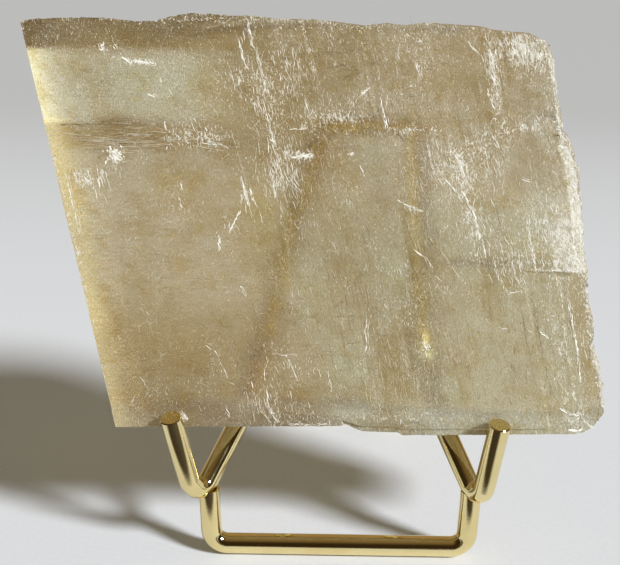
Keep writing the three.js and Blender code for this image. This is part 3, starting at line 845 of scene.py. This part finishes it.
def frost_slivers():
    chips = Slivers(tilts=(-0.25, 0.6))
    for width, *way in SCARS:
        strands = 3 if width > 0.28 else 1
        chips.scar(np.reshape(way, (-1, 2)), width * 0.55, min(1.0, 0.4 + 1.2 * width), strands=strands)
    for *place, count, shade_of in PATCHES:
        chips.cluster(place, count, (0.25, 1.0), (0.12, 0.32), shade_of, spread=1.6)
    for *place, count, shade_of in SCRATCHED:
        chips.cluster(place, count, (0.5, 2.8), (0.06, 0.17), shade_of, spread=0.16)
    chips.cluster((-35, 67.6, 15, 2.2), 110, (1.0, 5.0), (0.05, 0.12), 0.3, lean=(1, 0), spread=0.06)
    for *place, amount in FROST_SPOTS:
        count = int(2 + 2.2 * (place[2] * place[3]) ** 0.75 * amount)
        chips.cluster(place, count, (0.4, 2.2), (0.06, 0.16), 0.75 * min(amount + 0.3, 1), spread=0.22)
    for _ in range(34):
        place = (random.uniform(-5, 60), random.uniform(5, 92), 4, 7)
        chips.cluster(place, 14, (0.5, 3.0), (0.04, 0.09), 0.4, spread=0.10)
    for _ in range(14):
        place = (random.uniform(-50, -8), random.uniform(5, 92), 6, 3)
        chips.cluster(place, 10, (0.3, 1.5), (0.05, 0.11), 0.35, lean=(1, 0.1), spread=0.5)
    chips.finish("calcite_flakes", sliver_material(
        "calcite_frost", (0.44, 0.38, 0.25, 1), (0.90, 0.87, 0.77, 1), ior=1.45))


# Fine dark lines read off the photo, as points (s, t).
DARK_LINES = [
    [(23.5, 56), (23.4, 46), (23.1, 38)], [(12.1, 26), (12.6, 14), (10.7, 4)], [(14.9, 19), (15.3, 9)],
    [(6.2, 64), (4.6, 61), (3.5, 58)], [(-1.0, 52), (-2.2, 46), (-3.0, 42)], [(4, 27.5), (9, 27.3)],
    [(-2.6, 18.5), (9, 18.2)], [(6.4, 27), (6.7, 23)], [(9.5, 47), (9.6, 38), (9.2, 30)],
    [(33.3, 26.5), (33.6, 21)], [(35.5, 25), (35.8, 22.5)], [(46.5, 14.5), (46.8, 11)],
]


# Dark hairs: middle and reach, number, lengths, widths, brightness, direction, spread, depth.
VEILS = [
    ((-30, 67.5, 20, 3), 190, (0.8, 4), (0.05, 0.15), 0.9, (1, 0), 0.08, 0.4),
    ((-32, 41, 20, 16), 170, (0.8, 5), (0.04, 0.1), 0.8, (1, 0), 0.08, -0.01),
    ((-28, 79, 17, 6), 70, (0.8, 3), (0.04, 0.08), 0.8, (0, 1), 0.08, -0.01),
    ((-42, 79, 5, 5), 26, (1, 4.5), (0.08, 0.2), 0.7, (1, 0), 0.08, 0.4),
    ((36, 14, 12, 12), 80, (0.8, 3), (0.05, 0.12), 0.8, (0, 1), 0.12, -0.01),
    ((44, 15, 2.5, 9), 26, (0.8, 3), (0.12, 0.26), 0.85, (0, 1), 0.08, -0.01),
    ((30, 15, 3, 9), 40, (1, 4), (0.08, 0.2), 0.8, (0, 1), 0.1, -0.01),
    ((9, 30, 9, 18), 170, (1, 6), (0.04, 0.11), 0.65, (0, 1), 0.06, -0.01),
    ((42, 42, 13, 24), 170, (1, 6), (0.04, 0.1), 0.65, (0, 1), 0.06, -0.01),
    ((8, 26, 9, 10), 44, (0.8, 4), (0.05, 0.11), 0.5, (1, 0), 0.06, -0.01),
]
DARK_SPECKS = [(-51.8, 63.7), (52.6, 90.2), (59.7, 2.9)]


def veil_slivers():
    veils = Slivers()
    veils.scar([(-49, 70.6), (-47.5, 70.95), (-30, 71.0)], 0.34, 0.4, depth=-0.01, gaps=0.1, strands=1)
    veils.scar([(-30, 70.9), (-19, 70.2), (-9, 70.2)], 0.16, 0.55, depth=-0.01, gaps=0.5, strands=1)
    veils.scar([(49, 34), (49.4, 20), (49.8, 9)], 0.25, 0.5, depth=0.3, gaps=0.2, strands=1)
    for hairs in VEILS:
        veils.cluster(*hairs)
    for way in DARK_LINES:
        veils.scar(way, 0.16, 0.6, depth=-0.01, thick=0.04, gaps=0.6)
    veils.cluster((3, 85, 30, 6), 60, (0.8, 5.0), (0.06, 0.18), 0.7, (1, 0), 0.2, 0.4)
    for s, t in DARK_SPECKS:
        veils.strip([(s - 0.2, t), (s, t), (s + 0.2, t)], (0.2, 0.42, 0.2), -0.02, 0.1, 0.0)
    veils.finish("calcite_veils", sliver_material(
        "calcite_veil", (0.10, 0.06, 0.02, 1), (0.42, 0.30, 0.13, 1), ior=1.5))


frost_slivers()
veil_slivers()


# ---- brass rods

ROD_SIDES = 36
BEND_STEP = math.radians(5)
STRAIGHT_STEP = 4.0                   # millimetres between rings on a straight run
CHAMFER = 0.22


def unit(vector):
    return vector / np.linalg.norm(vector)


def rod_line(start, corners, end):
    """The rod's centre line, in millimetres: straight runs with a round bend at each corner."""
    stops = [np.array(p, float) for p in [start, *[c[0] for c in corners], end]]
    line = [stops[0]]
    for k, (corner, radius) in enumerate(corners):
        inward, outward = unit(stops[k + 1] - stops[k]), unit(stops[k + 2] - stops[k + 1])
        turn = math.acos(inward @ outward)
        entry = corner - inward * radius * math.tan(turn / 2)
        side = unit(np.cross(np.cross(inward, outward), inward))
        centre = entry + side * radius
        for _ in range(1, int(np.linalg.norm(entry - line[-1]) / STRAIGHT_STEP)):
            line.append(line[-1] + unit(entry - line[-1]) * STRAIGHT_STEP)
        for angle in np.linspace(0, turn, max(2, round(turn / BEND_STEP)) + 1):
            line.append(centre - side * radius * math.cos(angle) + inward * radius * math.sin(angle))
    return np.array([*line, stops[-1]])


def rod_rings(line):
    """Round sections along a line, without twist."""
    normal = np.cross(unit(line[1] - line[0]), (0.3, 1, 0.2))
    angles = np.arange(ROD_SIDES)[:, None] * 2 * math.pi / ROD_SIDES
    rings = []
    for point, tangent in zip(line, np.gradient(line, axis=0)):
        tangent = unit(tangent)
        normal = unit(normal - tangent * (normal @ tangent))
        around = np.cos(angles) * normal + np.sin(angles) * np.cross(tangent, normal)
        rings.append(point + ROD_RADIUS * around)
    return np.array(rings)


def chamfered(rings, line):
    """Adds a small chamfer and a smaller closing ring at both ends."""
    ends = []
    for ring, end, inner in ((rings[0], line[0], line[1]), (rings[-1], line[-1], line[-2])):
        shoulder = ring - unit(end - inner) * CHAMFER
        shares = (0.5, 1 - CHAMFER / ROD_RADIUS)
        ends.append([*[end + (ring - end) * share for share in shares], shoulder])
    return np.array([*ends[0], *rings[1:-1], *ends[1][::-1]])


def tube_faces(count):
    """Quads between the rings, and a cap at each end."""
    n = ROD_SIDES
    faces = [(r * n + k, r * n + (k + 1) % n, (r + 1) * n + (k + 1) % n, (r + 1) * n + k)
             for r in range(count - 1) for k in range(n)]
    return [*faces, tuple(range(n))[::-1], tuple(range((count - 1) * n, count * n))]


def rod_object(name, line, material, trim=chamfered):
    rings = trim(rod_rings(line), line)
    points = placed(rings.reshape(-1, 3), stand_to_world)
    piece = mesh_object(name, points, tube_faces(len(rings)), material)
    shade(piece, 35)
    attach(piece, "root")
    return piece


def brass_material():
    n = new_material("brass")
    where = n.add("ShaderNodeTexCoord").outputs["Object"]
    smudge = n.noise(where, scale=90, detail=4)
    pits = n.noise(where, scale=1400, detail=2)
    bump = n.add("ShaderNodeBump", {"Height": pits, "Strength": 0.08, "Distance": 0.0001})
    shader = n.add("ShaderNodeBsdfPrincipled", {
        "Base Color": n.mix_color(n.ramp(smudge, 0.35, 0.7), (0.88, 0.755, 0.40, 1), (0.82, 0.68, 0.33, 1)),
        "Metallic": 1.0,
        "Roughness": n.ramp(smudge, 0.3, 0.75, 0.05, 0.11),
        "Normal": bump.outputs[0],
    })
    return n.finish(Surface=shader.outputs[0])


brass = brass_material()

STUB_LIFT = 2.4                       # how far the upright ends may rise to meet the hooks, millimetres
STUB_SEAM = 0.04

CRADLE_LINE = rod_line((-39.1, -7.7, 39.3), [
    ((-35.9, -3.3, 21.2), 3.5),
    ((-33.4, -1.2, 16.3), 3),
    ((-24.9, 11, 30.5), 14),
    ((-20, 21.8, 46.2), 12),
    ((-5.4, 23.5, 101.8), 6.5),
    ((17.2, 23.5, 101), 6.5),
    ((20.6, 21.8, 46.8), 12),
    ((25.3, 11, 30.1), 14),
    ((33.3, -2.8, 15), 3.5),
], (35.7, -7.7, 38.8))
cradle = rod_object("stand_cradle", CRADLE_LINE, brass)
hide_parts("cradle_rod")


def saddle_stubs(rings, line):
    """Raises the upright ends until they cup the hooks that are brazed on them."""
    def cupped(ring):
        lifted = ring.copy()
        for k, point in enumerate(ring):
            for lift in np.arange(0, STUB_LIFT, 0.05):
                lifted[k] = point + (0, 0, lift)
                if np.linalg.norm(fine_cradle - lifted[k], axis=1).min() < ROD_RADIUS + STUB_SEAM:
                    break
        return lifted

    fine_cradle = np.concatenate([a + (b - a) * np.linspace(0, 1, 12)[:, None]
                                  for a, b in zip(CRADLE_LINE, CRADLE_LINE[1:])])
    ends = []
    for ring, centre in ((rings[0], line[0]), (rings[-1], line[-1])):
        ends.append([cupped(centre + (ring - centre) * share) for share in (0.15, 0.45, 0.75, 0.93)])
    first, last = cupped(rings[0]), cupped(rings[-1])
    return np.array([*ends[0], first, *rings[1:-1], last, *ends[1][::-1]])


base = rod_object("stand_base", rod_line((-31.5, 0, 14.9), [
    ((-31, 0, 2.5), 4),
    ((31, 0, 2.5), 4),
], (31.5, 0, 15.4)), brass, trim=saddle_stubs)
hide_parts("front_base_bar")

ARCH_BACK_Y = 26.0
LEG_FOOT_Y = 78.0
LEG_RISE = 66 - ROD_RADIUS            # from the foot's centre line to where the leg meets the arch
LEG_REACH = LEG_FOOT_Y - ARCH_BACK_Y
LEG_SLOPE = math.atan2(LEG_RISE, LEG_REACH)
LEG_LENGTH = math.hypot(LEG_RISE, LEG_REACH) + 5      # long enough to be cut flush with the arch


def leg_point(x, up):
    return (x, LEG_FOOT_Y - up * math.cos(LEG_SLOPE), ROD_RADIUS + up * math.sin(LEG_SLOPE))


def trim_leg(rings, line):
    """Cuts both ends upright, flush with the back of the arch."""
    rings = rings.copy()
    for end, inner in ((0, 1), (-1, -2)):
        direction = unit(line[end] - line[inner])
        to_arch = (ARCH_BACK_Y - rings[inner][:, 1]) / direction[1]
        rings[end] = rings[inner] + direction * to_arch[:, None]
    return rings


leg = rod_object("stand_leg", rod_line(leg_point(-15.5, LEG_LENGTH), [
    (leg_point(-15, 0), 8),
    (leg_point(15, 0), 8),
], leg_point(18.9, LEG_LENGTH)), brass, trim=trim_leg)
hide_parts("rear_leg")

# ---- stage, light and camera

FLOOR_HALF = 12.0                     # metres, like the places below
FLOOR_NEAR = (0.800, 0.800, 0.800, 1)
FLOOR_FAR_SHADED = (0.580, 0.575, 0.560, 1)
FLOOR_FADE = (0.0, 0.9)               # where the floor turns from the one to the other behind the stand, painted shade for the light's falloff
MIRROR_EDGE = (-0.062, -0.053)        # painted reflection: mirrored in the brass, the floor is painted darker between these
MIRROR_LEFT = (-0.068, -0.050)        # and to both sides it is pale again between these
MIRROR_RIGHT = (0.038, 0.052)
# The dark brown painted into the floor for glossy rays: painted reflection.
PAINTED_REFLECTION_BROWN = (0.04, 0.025, 0.011, 1)


def floor_object():
    h = FLOOR_HALF
    points = np.array([(-h, -h, 0), (h, -h, 0), (h, h, 0), (-h, h, 0)])
    n = new_material("floor")
    where = n.add("ShaderNodeTexCoord").outputs["Object"]
    x, y, _ = n.add("ShaderNodeSeparateXYZ", {0: where}).outputs
    # Painted shade: the floor turns darker far behind the stand.
    pale = n.mix_color(n.ramp(y, *FLOOR_FADE), FLOOR_NEAR, FLOOR_FAR_SHADED)
    weave = n.noise(where, scale=900, detail=3)
    pale = n.multiplied(pale, n.ramp(weave, 0.65, 0.35), (0.97, 0.97, 0.97, 1))
    # Painted reflection: in glossy rays the floor is painted dark brown just in front of the stand, as if it
    # ended there and the room beyond were dark.
    ray = n.add("ShaderNodeLightPath").outputs
    not_through = n.math("SUBTRACT", 1.0, ray["Is Transmission Ray"])
    in_front = n.ramp(y, *MIRROR_EDGE, 1.0, 0.0)
    between = (n.ramp(x, *MIRROR_LEFT), n.ramp(x, *MIRROR_RIGHT, 1.0, 0.0))
    dark = n.times(ray["Is Glossy Ray"], not_through, in_front, *between)
    color = n.mix_color(dark, pale, PAINTED_REFLECTION_BROWN)
    shader = n.add("ShaderNodeBsdfPrincipled", {"Base Color": color, "Roughness": 0.8})
    piece = mesh_object("floor", points, [(0, 1, 2, 3)], n.finish(Surface=shader.outputs[0]))


SEEN = (0.60, 0.59, 0.57, 1)          # world colour straight on, and through the stone
AMBIENT = (0.205, 0.190, 0.148, 1)    # what lights the matt surfaces
ROOM_LOW = (0.035, 0.021, 0.009, 1)   # what the brass mirrors, low in front, and above and behind
ROOM_HIGH = (0.35, 0.25, 0.135, 1)


def world_light():
    world = bpy.data.worlds.new("studio")
    bpy.context.scene.world = world
    n = Nodes(world)
    ray = n.add("ShaderNodeLightPath").outputs
    direction = n.add("ShaderNodeTexCoord").outputs["Generated"]
    _, back, up = n.add("ShaderNodeSeparateXYZ", {0: direction}).outputs
    bright = n.math("MAXIMUM", n.ramp(up, 0.50, 1.3), n.ramp(back, 0.15, 0.65))
    lit = n.mix_color(ray["Is Diffuse Ray"], n.mix_color(bright, ROOM_LOW, ROOM_HIGH), AMBIENT)
    straight = n.math("MAXIMUM", ray["Is Camera Ray"], ray["Is Transmission Ray"])
    background = n.add("ShaderNodeBackground", {"Color": n.mix_color(straight, lit, SEEN)})
    n.finish("ShaderNodeOutputWorld", Surface=background.outputs[0])


def key_light(azimuth, elevation, softness, strength, color):
    """A sun that stands for the window; azimuth 0 is in front, 90 to the right."""
    light = bpy.data.lights.new("window", "SUN")
    light.angle = math.radians(softness)
    light.energy = strength
    light.color = color
    lamp = bpy.data.objects.new("window", light)
    a, e = math.radians(azimuth), math.radians(elevation)
    away = Vector((math.sin(a) * math.cos(e), -math.cos(a) * math.cos(e), math.sin(e)))
    lamp.rotation_euler = away.to_track_quat("Z", "Y").to_euler()
    lamp.location = away * 2
    bpy.context.scene.collection.objects.link(lamp)


# The camera's place in front of the stand, and how it looks.
CAMERA_PLACE = (-6.4, -215.7, 135.5)  # millimetres, from the middle of the front bar
CAMERA_PITCH = 17.0                   # degrees
CAMERA_YAW = -0.39
CAMERA_ROLL = 0.72
FOCAL_PIXELS = 1000.0
PHOTO_WIDTH = 620.0
SENSOR = 36.0


def photo_camera():
    data = bpy.data.cameras.new("camera")
    data.sensor_fit = "HORIZONTAL"
    data.sensor_width = SENSOR
    data.lens = SENSOR * FOCAL_PIXELS / PHOTO_WIDTH
    data.clip_start = 0.01
    data.clip_end = 100
    camera = bpy.data.objects.new("camera", data)
    p, y, r = (math.radians(a) for a in (CAMERA_PITCH, CAMERA_YAW, CAMERA_ROLL))
    forward = Vector((math.sin(y) * math.cos(p), math.cos(y) * math.cos(p), -math.sin(p)))
    level = Vector((math.cos(y), -math.sin(y), 0))
    upright = level.cross(forward)
    right = level * math.cos(r) + upright * math.sin(r)
    up = -level * math.sin(r) + upright * math.cos(r)
    turn = Matrix((right, up, -forward)).transposed().to_4x4()
    camera.matrix_world = Matrix.Translation(stand_to_world @ Vector(CAMERA_PLACE)) @ turn
    bpy.context.scene.collection.objects.link(camera)
    bpy.context.scene.camera = camera


floor_object()
world_light()
key_light(azimuth=54, elevation=34, softness=11, strength=4.45, color=(0.885, 0.925, 1.0))
photo_camera()

scene = bpy.context.scene
scene.view_settings.view_transform = "Standard"
scene.view_settings.look = "None"
scene.cycles.use_denoising = True
scene.cycles.max_bounces = 14
scene.cycles.transmission_bounces = 12
